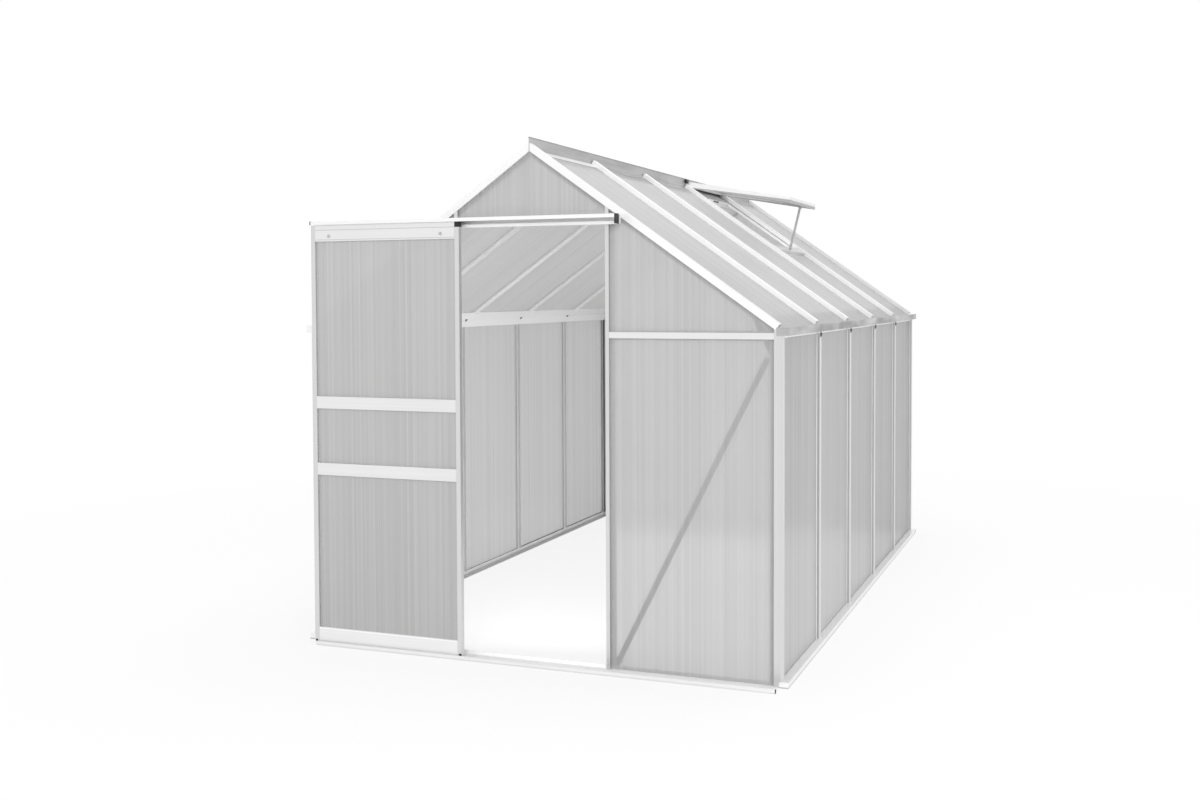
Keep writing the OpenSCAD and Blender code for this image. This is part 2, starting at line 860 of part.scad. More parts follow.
module door_sheets() {
    edges = [door_z + web_t / 2, mid_low, mid_high, top_web];
    x0 = door_x + web_t + sheet_gap;
    x1 = door_x + door_w - web_t - sheet_gap;
    color("lightgray", 0.6) place()
        for (i = [0 : 2])
            translate([x0, door_sheet_front, edges[i] + web_t / 2 + sheet_gap])
                cube([x1 - x0, sheet_t, edges[i + 1] - edges[i] - web_t - 2 * sheet_gap]);
}

// Rollers on the rail's lip, with their axles
module door_rollers() {
    color("dimgray") place()
        for (x = [door_x + roller_in, door_x + door_w - roller_in])
            translate([x, door_back, roller_z]) rotate([-90, 0, 0]) {
                cylinder(r = axle_r, h = roller_y - door_back);
                translate([0, 0, roller_y - roller_w / 2 - door_back]) cylinder(r = roller_r, h = roller_w);
            }
}

// Stop on the head of the stile that closes the doorway
module stile_plug() {
    color("black") place()
        translate([door_x + door_w - stile_w, door_front, plug_z]) cube([stile_w, door_t, plug_h]);
}

base_left();
base_right();
base_rear();
front_sill();
corner_post_front_left();
corner_post_front_right();
corner_post_rear_left();
corner_post_rear_right();
wall_bars_left();
wall_bars_right();
gutter_left();
gutter_right();
ridge_bar();
front_rafters();
rear_rafters();
roof_bars_left();
roof_bars_right();
door_posts();
door_header();
front_eave_bars();
rear_posts();
rear_eave_bars();
braces();
gussets();
door_rail();
rail_end_caps();
wall_sheets_left();
wall_sheets_right();
front_sheets_lower();
front_sheets_gable();
rear_sheets_lower();
rear_sheets_gable();
roof_sheets_left();
roof_sheets_right();
vent_sill();
vent_frame();
vent_sheet();
vent_hinges();
vent_stay();
door_stiles();
door_top_rail();
door_mid_rails();
door_bottom_rail();
door_sheets();
door_rollers();
stile_plug();
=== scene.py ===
"""Looks of the polycarbonate greenhouse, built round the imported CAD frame."""

import math

import bmesh
import bpy
import numpy as np
from mathutils import Matrix, Vector


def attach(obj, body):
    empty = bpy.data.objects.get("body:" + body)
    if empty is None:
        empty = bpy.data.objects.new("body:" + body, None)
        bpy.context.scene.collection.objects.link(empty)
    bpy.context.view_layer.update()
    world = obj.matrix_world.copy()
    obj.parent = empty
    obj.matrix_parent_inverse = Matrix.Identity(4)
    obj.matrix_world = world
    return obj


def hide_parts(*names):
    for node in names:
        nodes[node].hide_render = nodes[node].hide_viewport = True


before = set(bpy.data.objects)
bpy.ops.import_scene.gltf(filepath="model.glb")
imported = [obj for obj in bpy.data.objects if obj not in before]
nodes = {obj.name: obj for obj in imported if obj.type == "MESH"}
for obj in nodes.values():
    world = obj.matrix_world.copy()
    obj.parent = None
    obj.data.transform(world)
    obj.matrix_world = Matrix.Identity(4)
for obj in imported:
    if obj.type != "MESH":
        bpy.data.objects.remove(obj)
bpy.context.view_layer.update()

# ---- Sizes, in metres ----

FLUTE = 0.009          # pitch of the ribs inside a twin-wall sheet
FLUTE_SAG = 0.0002     # how far a skin sinks between two ribs
EDGE = 0.0005          # rounding of the extrusions' edges
WELD = 0.00001         # how far apart two corners of a solid may be and still be one


def box_of(name):
    """Lowest and highest corner of a CAD node."""
    corners = np.array([v.co for v in nodes[name].data.vertices])
    return corners.min(axis=0), corners.max(axis=0)


SHEET_HIGH = box_of("wall_sheets_right")[1]
SILL_LOW, SILL_HIGH = box_of("front_sill")
RAFTER_LOW, RAFTER_HIGH = box_of("front_rafters")
WALL_X = float(box_of("wall_bars_right")[1][0])  # outer face of the side walls
FRONT_Y = float(RAFTER_LOW[1])                 # outer face of the front gable
REAR_Y = float(box_of("rear_rafters")[1][1])   # outer face of the rear gable
BAYS = 5
VENT_BAY = 3                                   # number of the vent's bay, from 0 at the front
BAY = (REAR_Y - FRONT_Y) / BAYS
DOOR_LOW, DOOR_HIGH = box_of("door_stiles")
DOOR_TOP = float(box_of("door_top_rail")[1][2])
DOOR_FOOT = float(box_of("door_bottom_rail")[1][2])
SHEET_T = 0.004
LIP = SHEET_T + 0.002                          # inner lip behind a sheet's outer face
RIDGE_TOP = float(box_of("ridge_bar")[1][2])
GUTTER_TOP = float(box_of("gutter_right")[1][2])
APEX_Z = float(RAFTER_HIGH[2])
ROOF_RISE = 0.70820                            # rise of the roof for each metre across
PITCH = math.atan(ROOF_RISE)
DOWN = math.cos(PITCH), math.sin(PITCH)        # across and down, for a metre along the slope
WALL_PROUD = 0.012                             # how far the bars stand out from the wall sheets
ROOF_PROUD = 0.018                             # how far the bars stand out from the roof sheets
WEB_HALF = 0.004                               # from the ridge bar's middle to clear of its web
DIP = math.radians(10)                         # slope of the propped vent
VENT_TOP = float(box_of("vent_frame")[1][2])
BEVEL_FROM = math.radians(35)                  # an edge that turns more than this is rounded
FACING = 0.5                                   # how squarely a face looks some way to count

X, Y = 0, 1


# ---- Node helpers ----

class Tree:
    """Short calls for building one material's nodes."""

    def __init__(self, name):
        self.material = bpy.data.materials.new(name)
        self.material.use_nodes = True
        self.tree = self.material.node_tree
        self.tree.nodes.clear()
        self.out = self.node("ShaderNodeOutputMaterial")

    def node(self, kind, **props):
        made = self.tree.nodes.new(kind)
        for key, value in props.items():
            setattr(made, key, value)
        return made

    def link(self, source, target):
        self.tree.links.new(source, target)

    def put(self, socket, value):
        """Sets a socket to a number or colour, or links a socket into it."""
        if isinstance(value, bpy.types.NodeSocket):
            self.link(value, socket)
        else:
            socket.default_value = value

    def math(self, op, a, b=0.0, c=0.0):
        n = self.node("ShaderNodeMath", operation=op)
        for socket, value in zip(n.inputs, (a, b, c)):
            self.put(socket, value)
        return n.outputs[0]

    def coords(self):
        return self.node("ShaderNodeTexCoord").outputs["Object"]

    def mapped(self, vector, scale, turn=(0, 0, 0)):
        """vector turned by turn, then scaled."""
        rot = self.node("ShaderNodeVectorRotate", rotation_type="EULER_XYZ")
        self.link(vector, rot.inputs["Vector"])
        rot.inputs["Rotation"].default_value = turn
        mul = self.node("ShaderNodeVectorMath", operation="MULTIPLY")
        self.link(rot.outputs[0], mul.inputs[0])
        mul.inputs[1].default_value = scale
        return mul.outputs[0]

    def noise(self, vector, scale=1.0, detail=2.0, rough=0.5):
        n = self.node("ShaderNodeTexNoise")
        self.link(vector, n.inputs["Vector"])
        n.inputs["Scale"].default_value = scale
        n.inputs["Detail"].default_value = detail
        n.inputs["Roughness"].default_value = rough
        return n.outputs["Fac"]

    def span(self, value, lo, hi, from_lo=0.0, from_hi=1.0):
        """value mapped from its range onto lo..hi, clamped."""
        n = self.node("ShaderNodeMapRange")
        for key, number in (("From Min", from_lo), ("From Max", from_hi), ("To Min", lo), ("To Max", hi)):
            n.inputs[key].default_value = number
        self.put(n.inputs["Value"], value)
        return n.outputs["Result"]

    def xyz(self):
        """The piece's own coordinates, which are the house's, one by one."""
        n = self.node("ShaderNodeSeparateXYZ")
        self.link(self.coords(), n.inputs[0])
        return n.outputs

    def normal(self):
        """The face's own direction, one part at a time."""
        n = self.node("ShaderNodeSeparateXYZ")
        self.link(self.node("ShaderNodeNewGeometry").outputs["Normal"], n.inputs[0])
        return n.outputs

    def step(self, value, edge, above=1.0, below=0.0):
        """below where value is under edge, else above."""
        return self.span(self.math("GREATER_THAN", value, edge), below, above)

    def tint(self, value, dark, light):
        """Colour between dark and light by value."""
        n = self.node("ShaderNodeMix", data_type="RGBA")
        factor, a, b = (next(s for s in n.inputs if s.identifier == key)
                        for key in ("Factor_Float", "A_Color", "B_Color"))
        self.put(factor, value)
        self.put(a, dark if isinstance(dark, bpy.types.NodeSocket) else (*dark, 1))
        self.put(b, light if isinstance(light, bpy.types.NodeSocket) else (*light, 1))
        return next(s for s in n.outputs if s.identifier == "Result_Color")

    def bump(self, height, strength, distance):
        n = self.node("ShaderNodeBump")
        self.link(height, n.inputs["Height"])
        n.inputs["Strength"].default_value = strength
        n.inputs["Distance"].default_value = distance
        return n.outputs["Normal"]

    def mix(self, fac, a, b):
        n = self.node("ShaderNodeMixShader")
        self.put(n.inputs[0], fac)
        self.link(a, n.inputs[1])
        self.link(b, n.inputs[2])
        return n.outputs[0]

    def finish(self, shader):
        self.link(shader, self.out.inputs["Surface"])
        return self.material


def grey(level):
    return (level, level, level)


# ---- Materials ----

# The masks below pick faces by place and direction. Their tones are matched to the photograph.

# The tones that these masks carry are painted light and shade, set for how light falls on the faces they
# pick.
def looks_in(t):
    """1 on the upright faces that look into the house."""
    x, _, _ = t.xyz()
    toward = t.math("MULTIPLY", t.math("SIGN", x), t.normal()[0])
    return t.step(toward, -FACING, 0, 1)


def looks_down(t):
    """1 on the faces that look down."""
    return t.step(t.normal()[2], -FACING, 0, 1)


def outward(t):
    """How far a face looks out of the nearer gable, from -1 to 1."""
    return t.math("MULTIPLY", t.math("SIGN", t.xyz()[1]), t.normal()[1])


def looks_out(t):
    """1 on the faces that look out through a gable sheet."""
    return t.step(outward(t), FACING)


def in_track(t):
    """1 on the front sill behind its front lip."""
    lip = 0.0026
    return t.step(t.xyz()[1], float(SILL_LOW[1]) + lip)


def under_vent(t):
    """1 on the ridge bar's right-hand plate in the vent's bay."""
    x, y, _ = t.xyz()
    near, far = FRONT_Y + VENT_BAY * BAY, FRONT_Y + (VENT_BAY + 1) * BAY
    bay = t.math("MULTIPLY", t.step(y, near), t.step(y, far, 0, 1))
    return t.math("MULTIPLY", bay, t.step(x, WEB_HALF))


def behind_gable(t):
    """1 on the rafters' cores, behind the gable sheets and under the roof sheets, except on the faces
    that look into the house."""
    past = 0.001
    x, y, z = t.xyz()
    deep = t.math("MINIMUM", t.math("SUBTRACT", y, FRONT_Y), t.math("SUBTRACT", REAR_Y, y))
    drop = t.math("MULTIPLY", t.math("SUBTRACT", APEX_Z, z), math.cos(PITCH))
    depth = t.math("SUBTRACT", drop, t.math("MULTIPLY", t.math("ABSOLUTE", x), math.sin(PITCH)))
    core = t.math("MULTIPLY", t.step(deep, WALL_PROUD + past), t.step(depth, ROOF_PROUD + past))
    return t.math("MULTIPLY", core, t.step(outward(t), -FACING))


def aluminium(name, across, turn=(0, 0, 0), tone=0.87, metallic=1.0, zone=None, painted_tones=()):
    """Satin extruded aluminium, its die lines fine in the directions of across and long in the other.
    zone, if given, draws a factor that darkens the metal where it is under 1. The last argument holds
    pairs of a mask and the tone of what it picks, which is matt: painted light and shade, set for how
    light falls on the picked faces."""
    t = Tree(name)
    at = t.coords()
    line_scale = [900 if fine else 3 for fine in across]
    band_scale = [160 if fine else 0.7 for fine in across]
    lines = t.noise(t.mapped(at, line_scale, turn), detail=3, rough=0.65)
    bands = t.noise(t.mapped(at, band_scale, turn), detail=2)
    cloud = t.noise(at, scale=2.3, detail=4, rough=0.55)
    streak = t.math("MULTIPLY_ADD", lines, 0.45, t.math("MULTIPLY", bands, 0.55))
    shade = t.math("MULTIPLY_ADD", streak, 0.6, t.math("MULTIPLY", cloud, 0.4))
    p = t.node("ShaderNodeBsdfPrincipled")
    colour = t.tint(t.span(shade, 0, 1, 0.3, 0.7), grey(tone - 0.05), grey(tone + 0.04))
    colour = t.tint(zone(t), grey(0), colour) if zone else colour
    shine = metallic
    # Painted light and shade: each mask gives the faces it picks a matt tone of its own.
    for mask, level in painted_tones:
        picked = mask(t)
        colour = t.tint(picked, colour, grey(level))
        shine = t.math("MULTIPLY", shine, t.math("SUBTRACT", 1, picked))
    t.put(p.inputs["Base Color"], colour)
    t.put(p.inputs["Metallic"], shine)
    t.put(p.inputs["Roughness"], t.span(shade, 0.33, 0.5, 0.3, 0.7))
    t.put(p.inputs["Normal"], t.bump(streak, 0.12, 0.0003))
    return t.finish(p.outputs[0])


def flute_tone(t, across):
    """Tone that has ribs every flute, varies from flute to flute, and is streaked and cloudy."""
    at = t.coords()
    cell = t.math("DIVIDE", t.xyz()[across], FLUTE)
    gap = t.math("ABSOLUTE", t.math("SUBTRACT", cell, t.math("ROUND", cell)))
    rib = t.span(gap, 1.0, 0.0, 0.05, 0.13)
    one = t.node("ShaderNodeTexWhiteNoise", noise_dimensions="1D")
    t.link(t.math("FLOOR", cell), one.inputs["W"])
    cloud = t.noise(at, scale=1.1, detail=3)
    stretch = [0.8, 0.8, 0.8]
    stretch[across] = 110
    streak = t.noise(t.mapped(at, stretch), detail=3, rough=0.6)
    tone = t.math("MULTIPLY_ADD", one.outputs["Value"], 0.3, t.math("MULTIPLY", streak, 0.35))
    tone = t.math("MULTIPLY_ADD", cloud, 0.35, tone)
    return t.math("SUBTRACT", tone, t.math("MULTIPLY", rib, 0.2))


def sheet(name, across, lit, passed, share, under=1.0):
    """Milky twin-wall sheet with a soft shine. lit and passed are the tones of the reflected and the
    passed light, and share is the part that passes. under is a factor on both tones for the face that
    looks down. The faces' backs are clear, so that a sheet dims the light once."""
    t = Tree(name)
    tone = flute_tone(t, across)
    level = t.span(tone, 0, 1, 0.2, 0.8)
    # Painted shade: the face that looks down takes both tones times the under factor.
    below = t.step(t.normal()[2], -FACING, 1, under)
    swing = 0.05
    lit_tone = t.tint(level, grey(lit - swing), grey(lit + swing))
    passed_tone = t.tint(level, grey(passed - swing), grey(passed + swing))
    through = t.tint(below, grey(0), passed_tone)
    p = t.node("ShaderNodeBsdfPrincipled")
    t.put(p.inputs["Base Color"], t.tint(below, grey(0), lit_tone))
    t.put(p.inputs["Roughness"], t.span(tone, 0.26, 0.4, 0.2, 0.8))
    p.inputs["Specular IOR Level"].default_value = 0.4
    glow = t.node("ShaderNodeBsdfTranslucent")
    t.put(glow.inputs["Color"], through)
    haze = t.node("ShaderNodeBsdfRefraction")
    t.put(haze.inputs["Color"], through)
    haze.inputs["Roughness"].default_value = 0.3
    haze.inputs["IOR"].default_value = 1.14
    clear = t.node("ShaderNodeBsdfTransparent")
    clear.inputs["Color"].default_value = (0.9, 0.9, 0.9, 1)
    inside = t.node("ShaderNodeBsdfTransparent")
    side = t.node("ShaderNodeNewGeometry")
    passing = t.mix(0.08, t.mix(0.5, glow.outputs[0], haze.outputs[0]), clear.outputs[0])
    body = t.mix(share, p.outputs[0], passing)
    return t.finish(t.mix(side.outputs["Backfacing"], body, inside.outputs[0]))


def plastic(name, tone, rough=0.45):
    """Moulded black plastic with a fine grain."""
    t = Tree(name)
    at = t.coords()
    grain = t.noise(at, scale=1400, detail=2)
    cloud = t.noise(at, scale=25, detail=3)
    p = t.node("ShaderNodeBsdfPrincipled")
    t.put(p.inputs["Base Color"], t.tint(cloud, grey(tone * 0.8), grey(tone * 1.3)))
    t.put(p.inputs["Roughness"], t.span(grain, rough - 0.08, rough + 0.12))
    t.put(p.inputs["Normal"], t.bump(grain, 0.2, 0.0002))
    return t.finish(p.outputs[0])


def zinc(name, dark, light):
    """Zinc plating on bolts, rollers and the stay, from the dark to the light tone."""
    t = Tree(name)
    at = t.coords()
    spots = t.noise(at, scale=320, detail=3, rough=0.6)
    p = t.node("ShaderNodeBsdfPrincipled")
    t.put(p.inputs["Base Color"], t.tint(spots, grey(dark), grey(light)))
    t.put(p.inputs["Roughness"], t.span(spots, 0.26, 0.48))
    p.inputs["Metallic"].default_value = 0.9
    t.put(p.inputs["Normal"], t.bump(spots, 0.15, 0.0002))
    return t.finish(p.outputs[0])


def gutter_painted_shade(t):
    """Painted shade, in patches, on the right-hand trough's outer face below its bright lip, for the darker
    ground that the face mirrors.
    """
    x, y, z = t.xyz()
    patches = t.noise(t.mapped(t.coords(), (1, 3.2, 9)), detail=3)
    face = t.span(patches, 0.30, 0.66, 0.35, 0.65)
    outer = t.math("MAXIMUM", t.step(t.math("ABSOLUTE", x), WALL_X), t.step(y, FRONT_Y, 0, 1))
    lip = 0.0045
    outer = t.math("MULTIPLY", outer, t.step(z, GUTTER_TOP - lip, 0, 1))
    outer = t.math("MULTIPLY", outer, t.step(x, 0))
    return t.math("ADD", t.math("MULTIPLY", outer, face), t.math("SUBTRACT", 1, outer))


def ridge_light_and_shade(t):
    """Painted light and shade on the ridge bar: it is darkened throughout in streaks, darker still along
    its top edge, and left bright on its plates over the first bay.
    """
    x, y, z = t.xyz()
    streaks = t.noise(t.mapped(t.coords(), (1, 2.4, 30)), detail=3)
    web = t.span(streaks, 0.42, 0.62, 0.3, 0.7)
    plates = t.step(t.math("ABSOLUTE", x), WEB_HALF)
    bright = t.math("MULTIPLY", plates, t.step(y, FRONT_Y + BAY, 0, 1))
    edge = 0.0025
    return t.math("MULTIPLY", t.math("MAXIMUM", web, bright), t.step(z, RIDGE_TOP - edge, 0.28, 1))


def bar_groove_shade(t):
    """Painted shade: a dark line down the flank of each wall bar, for the shade in a groove between its lip
    and its face.
    """
    x, _, _ = t.xyz()
    groove = WALL_X - 0.0065
    off = t.math("ABSOLUTE", t.math("SUBTRACT", t.math("ABSOLUTE", x), groove))
    return t.span(off, 0.74, 1.0, 0.0016, 0.0026)


def vent_zone(t):
    """The side flanges of the vent's frame are in shade low down, more so towards the free edge."""
    x, _, z = t.xyz()
    drop = t.math("SUBTRACT", VENT_TOP, z)
    depth = t.math("MULTIPLY_ADD", drop, math.cos(DIP), t.math("MULTIPLY", x, -math.sin(DIP)))
    edge = t.span(x, 0.024, 0.013, 0.05, 0.5)
    return t.span(t.math("SUBTRACT", depth, edge), 1.0, 0.5, -0.001, 0.001)


def base_foot_shadow(t):
    """The foot of the side base is darkened: painted contact shadow."""
    _, _, z = t.xyz()
    return t.span(z, 0.5, 1.0, 0.002, 0.006)


def sill_foot_shadow(t):
    """The foot of the front sill is a little darker: painted contact shadow."""
    _, _, z = t.xyz()
    return t.span(z, 0.85, 1.0, 0.002, 0.006)


def door_foot_highlight(t):
    """A painted highlight runs along the top of the door's bottom rail, and the rail below it is a little
    darker.
    """
    _, _, z = t.xyz()
    # Height of the bright band along the rail's top, which is a painted highlight.
    bead = 0.0055
    return t.step(z, DOOR_FOOT - bead, 1, 0.88)


def door_head_zone(t):
    """Two fine joints run along the door's top rail."""
    _, _, z = t.xyz()
    low, high = (t.math("ABSOLUTE", t.math("SUBTRACT", z, DOOR_TOP - down)) for down in (0.060, 0.024))
    return t.span(t.math("MINIMUM", low, high), 0.72, 1.0, 0.0008, 0.0018)


along_x = aluminium("alu_along_x", (0, 1, 1))
# The upright members' lower tones are painted shade, for the darker surroundings that upright faces mirror.
along_z = aluminium("alu_along_z", (1, 1, 0), tone=0.74)
# The wall bars' inner faces take a matt tone, which is painted light in the shade inside.
wall_bar = aluminium("alu_wall_bar", (1, 1, 0), tone=0.78, zone=bar_groove_shade, painted_tones=[(looks_in, 0.76)])
# The roof bars' undersides take a lower matt tone: painted shade.
roof_painted_underside = [(looks_down, 0.64)]
down_right = aluminium("alu_down_right", (0, 1, 1), (0, -PITCH, 0), tone=0.93, metallic=0.2,
                       painted_tones=roof_painted_underside)
down_left = aluminium("alu_down_left", (0, 1, 1), (0, PITCH, 0), tone=0.93, metallic=0.2,
                      painted_tones=roof_painted_underside)
# The rafters' cores behind the sheets take a dark matt tone: painted shade, where they keep light from the
# sheets.
rafter_alu = aluminium("alu_rafter", (0, 1, 1), (0, -PITCH, 0), tone=0.84, metallic=0.3,
                       painted_tones=[(behind_gable, 0.3)])
base_alu = aluminium("alu_base", (1, 0, 1), tone=0.95, metallic=0.5, zone=base_foot_shadow)
# The groove behind the sill's front lip takes a light matt tone, which is painted light in its shade.
sill_alu = aluminium("alu_sill", (0, 1, 1), tone=0.80, metallic=0.15, zone=sill_foot_shadow,
                     painted_tones=[(in_track, 0.98)])
rail_alu = aluminium("alu_rail", (0, 1, 1), tone=0.86, metallic=0.4)
door_foot = aluminium("alu_door_foot", (0, 1, 1), tone=0.95, metallic=0.3, zone=door_foot_highlight)
door_head = aluminium("alu_door_head", (0, 1, 1), zone=door_head_zone)
# The faces of the straps and post lips that look out through a gable sheet take a near-black tone: painted
# shade.
strap = aluminium("galvanised_strap", (0, 1, 1), tone=0.52, painted_tones=[(looks_out, 0.15)])
# The gutters' faces that look in and down take light matt tones: painted light on the eave band inside.
gutter_alu = aluminium("alu_gutter", (1, 0, 1), tone=0.92, metallic=0.6, zone=gutter_painted_shade,
                       painted_tones=[(looks_in, 0.94), (looks_down, 0.90)])
# The ridge bar's downward faces and its plate under the vent take light matt tones: painted light in the
# shade there.
ridge_alu = aluminium("alu_ridge", (1, 0, 1), tone=0.87, metallic=0.7, zone=ridge_light_and_shade,
                      painted_tones=[(looks_down, 0.80), (under_vent, 0.97)])
# The vent frame's downward faces take a dark matt tone: painted shade.
vent_alu = aluminium("alu_vent", (1, 0, 1), tone=0.93, metallic=0.3, zone=vent_zone,
                     painted_tones=[(looks_down, 0.38)])
dull = aluminium("alu_dull", (1, 0, 1), tone=0.74, metallic=0.2)
sheet_over_x = sheet("twin_wall_gable", X, lit=0.64, passed=0.63, share=0.50)
sheet_over_y = sheet("twin_wall_side", Y, lit=0.63, passed=0.59, share=0.50)
# The roof's and the vent's sheets are darker on the faces that look down: painted shade.
sheet_roof = sheet("twin_wall_roof", Y, lit=0.74, passed=0.56, share=0.50, under=0.8)
sheet_vent = sheet("twin_wall_vent", Y, lit=0.74, passed=0.56, share=0.50, under=0.5)
# The door's sheets are the same twin-wall as the rest, given darker and less clear tones: painted shade.
sheet_door = sheet("twin_wall_door", X, lit=0.46, passed=0.5, share=0.05)
bead_white = aluminium("alu_bead", (1, 1, 1), tone=0.94, metallic=0.1)
black = plastic("black_plastic", tone=0.012, rough=0.6)
rubber = plastic("black_rubber", tone=0.02, rough=0.75)
steel = zinc("zinc_steel", dark=0.50, light=0.68)
# The dark nuts' low tone is partly the zinc's own and partly painted shade round the bolts.
dark_steel = zinc("dark_nuts", dark=0.10, light=0.22)

METAL = {
    along_x: ("base_rear", "door_header", "front_eave_bars", "rear_eave_bars", "door_mid_rails"),
    rail_alu: ("door_rail",),
    sill_alu: ("front_sill",),
    door_foot: ("door_bottom_rail",),
    door_head: ("door_top_rail",),
    base_alu: ("base_left", "base_right"),
    rafter_alu: ("front_rafters", "rear_rafters"),
    strap: ("braces", "gussets"),
    gutter_alu: ("gutter_left", "gutter_right"),
    ridge_alu: ("ridge_bar",),
    vent_alu: ("vent_frame",),
    dull: ("vent_sill",),
    along_z: ("corner_post_front_left", "corner_post_front_right", "corner_post_rear_left",
              "corner_post_rear_right", "door_posts", "rear_posts", "door_stiles"),
    wall_bar: ("wall_bars_left", "wall_bars_right"),
    down_right: ("roof_bars_right",),
    down_left: ("roof_bars_left",),
    black: ("rail_end_caps", "vent_hinges", "stile_plug"),
    steel: ("door_rollers", "vent_stay"),
}


def paint(obj, material):
    """Gives obj this material and no other."""
    obj.data.materials.clear()
    obj.data.materials.append(material)


for material, names in METAL.items():
    for name in names:
        node = nodes[name]
        paint(node, material)
        weld = node.modifiers.new("weld", "WELD")
        weld.merge_threshold = WELD
        bevel = node.modifiers.new("edges", "BEVEL")
        bevel.width = EDGE
        bevel.segments = 2
        bevel.limit_method = "ANGLE"
        bevel.angle_limit = BEVEL_FROM
        bevel.harden_normals = True


# ---- Pieces ----

def piece(name, verts, faces, material, body="house"):
    """A new visible piece that rides on body."""
    mesh = bpy.data.meshes.new(name)
    mesh.from_pydata([tuple(v) for v in verts], [], faces)
    mesh.validate()
    bm = bmesh.new()
    bm.from_mesh(mesh)
    bmesh.ops.recalc_face_normals(bm, faces=bm.faces)
    bm.to_mesh(mesh)
    bm.free()
    obj = bpy.data.objects.new(name, mesh)
    bpy.context.scene.collection.objects.link(obj)
    paint(obj, material)
    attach(obj, body)
    return obj


def loose_parts(node):
    """The separate solids of a CAD node, each as an array of its corners."""
    bm = bmesh.new()
    bm.from_mesh(nodes[node].data)
    bmesh.ops.remove_doubles(bm, verts=bm.verts, dist=WELD)
    left, parts = set(bm.verts), []
    while left:
        stack, found = [left.pop()], []
        while stack:
            v = stack.pop()
            found.append(v.co.copy())
            for e in v.link_edges:
                o = e.other_vert(v)
                if o in left:
                    left.remove(o)
                    stack.append(o)
        parts.append(np.array(found))
    bm.free()
    return sorted(parts, key=lambda p: (round(p[:, 1].mean(), 4), round(p[:, 0].mean(), 4), p[:, 2].mean()))


def hull_2d(points):
    """Convex outline of 2-D points, counter-clockwise."""
    straight = 1e-12

    def turn(a, b, p):
        return (b[0] - a[0]) * (p[1] - a[1]) - (b[1] - a[1]) * (p[0] - a[0])

    def half(run):
        line = []
        for p in run:
            while len(line) > 1 and turn(line[-2], line[-1], p) <= straight:
                line.pop()
            line.append(p)
        return line

    pts = sorted(set((round(float(a), 6), round(float(b), 6)) for a, b in points))
    return half(pts)[:-1] + half(pts[::-1])[:-1]


def span_at(outline, u):
    """Lowest and highest v of the outline at u."""
    tiny = 1e-7
    hits = []
    for (a, b), (c, d) in zip(outline, outline[1:] + outline[:1]):
        if min(a, c) - tiny <= u <= max(a, c) + tiny:
            if abs(c - a) < tiny:
                hits += [b, d]
            else:
                hits.append(b + (d - b) * (u - a) / (c - a))
    return min(hits), max(hits)


def stations_of(outline, u0, u1):
    """Places across a sheet: its corners, and every half flute that isn't right beside one."""
    beside = 0.0004
    half = FLUTE / 2
    grid = [k * half for k in range(math.ceil(u0 / half), math.floor(u1 / half) + 1)]
    corners = [p[0] for p in outline]
    keep = [g for g in grid if all(abs(g - c) > beside for c in corners)]
    return sorted(set(round(u, 6) for u in keep + corners))


def fluted(parts, across, along):
    """Twin-wall sheets that fill the given flat solids, with skins that sink between the ribs.
    across is the unit vector over the flutes and along the one down them."""
    across, along = Vector(across), Vector(along)
    out = across.cross(along).normalized()
    axes = np.array([across, along, out])
    verts, faces = [], []
    for part in parts:
        local = part @ axes.T
        w0, w1 = local[:, 2].min(), local[:, 2].max()
        outline = hull_2d(local[:, :2])
        stations = stations_of(outline, local[:, 0].min(), local[:, 0].max())
        start = len(verts)
        for u in stations:
            lo, hi = span_at(outline, u)
            off_rib = abs(u / FLUTE - round(u / FLUTE)) * 2
            sag = FLUTE_SAG * off_rib
            for v in (lo, hi):
                for w in (w0 + sag, w1 - sag):
                    verts.append(Vector((u, v, w)) @ Matrix(axes.tolist()))
        for i in range(len(stations) - 1):
            a, b = start + 4 * i, start + 4 * (i + 1)
            faces += [(a, b, b + 2, a + 2), (a + 1, a + 3, b + 3, b + 1),
                      (a, a + 1, b + 1, b), (a + 2, b + 2, b + 3, a + 3)]
        end = start + 4 * (len(stations) - 1)
        faces += [(start, start + 2, start + 3, start + 1), (end, end + 1, end + 3, end + 2)]
    return verts, faces


UP = (0, 0, 1)
SHEETS = {
    "wall_sheets_left": (sheet_over_y, Y, UP),
    "wall_sheets_right": (sheet_over_y, Y, UP),
    "front_sheets_lower": (sheet_over_x, X, UP),
    "front_sheets_gable": (sheet_over_x, X, UP),
    "rear_sheets_lower": (sheet_over_x, X, UP),
    "rear_sheets_gable": (sheet_over_x, X, UP),
    "door_sheets": (sheet_door, X, UP),
    "roof_sheets_left": (sheet_roof, Y, (-DOWN[0], 0, -DOWN[1])),
    "roof_sheets_right": (sheet_roof, Y, (DOWN[0], 0, -DOWN[1])),
    "vent_sheet": (sheet_vent, Y, (math.cos(DIP), 0, -math.sin(DIP))),
}
for name, (material, axis, along) in SHEETS.items():
    across = (1, 0, 0) if axis == X else (0, 1, 0)
    verts, faces = fluted(loose_parts(name), across, along)
    made = piece(name + "_fluted", verts, faces, material,
                 "door" if name == "door_sheets" else "house")
    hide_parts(name)


# ---- Small parts ----

def upright(at, axis):
    """Matrix that puts the origin at at and turns Z onto axis."""
    return Matrix.Translation(at) @ Vector(axis).to_track_quat("Z", "Y").to_matrix().to_4x4()


